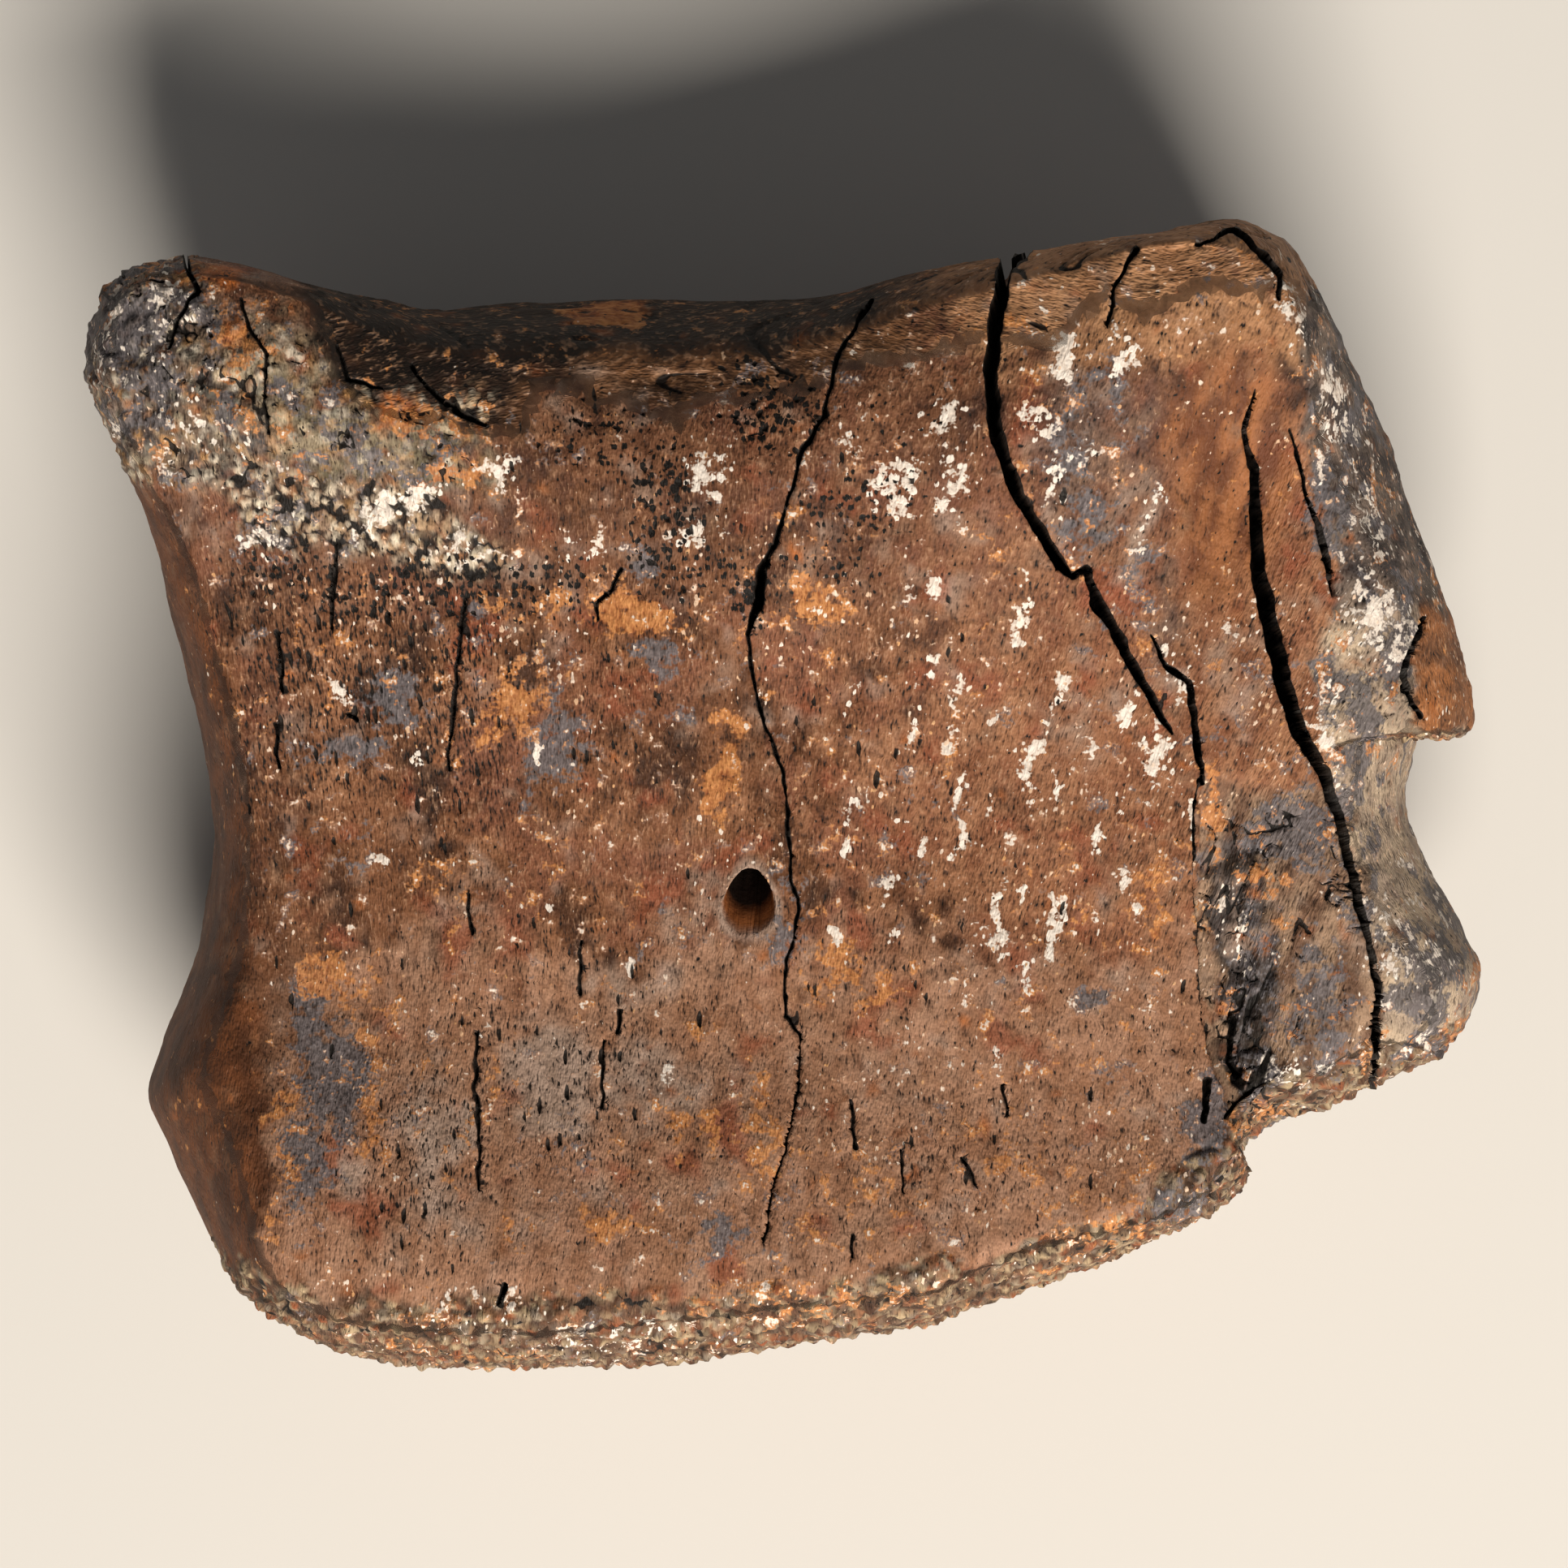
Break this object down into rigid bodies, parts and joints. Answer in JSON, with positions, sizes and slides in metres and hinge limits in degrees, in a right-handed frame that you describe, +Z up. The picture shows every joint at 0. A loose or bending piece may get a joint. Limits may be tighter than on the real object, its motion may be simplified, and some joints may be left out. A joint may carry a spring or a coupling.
{
  "type": "fossil dinosaur toe bone",
  "caption": "Broad, waisted fossil toe bone of a duck-billed dinosaur, cracked and weathered, with a knobbed grooved tip end and a dished root end, lying on its sole.",
  "frame": {"origin": "centre of the bounding box in plan, on the surface that the bone rests on", "axes": "+X across the bone towards its broken side, +Y along the toe towards the knobbed tip end, +Z up from the sole to the back of the bone"},
  "size_m": [0.1046, 0.0848, 0.0454],
  "materials": {
    "fossil_bone": "matt, weathered, mineral-stained"
  },
  "bodies": {
    "root": {"toe_bone": "fossil_bone"}
  },
  "joints": []
}
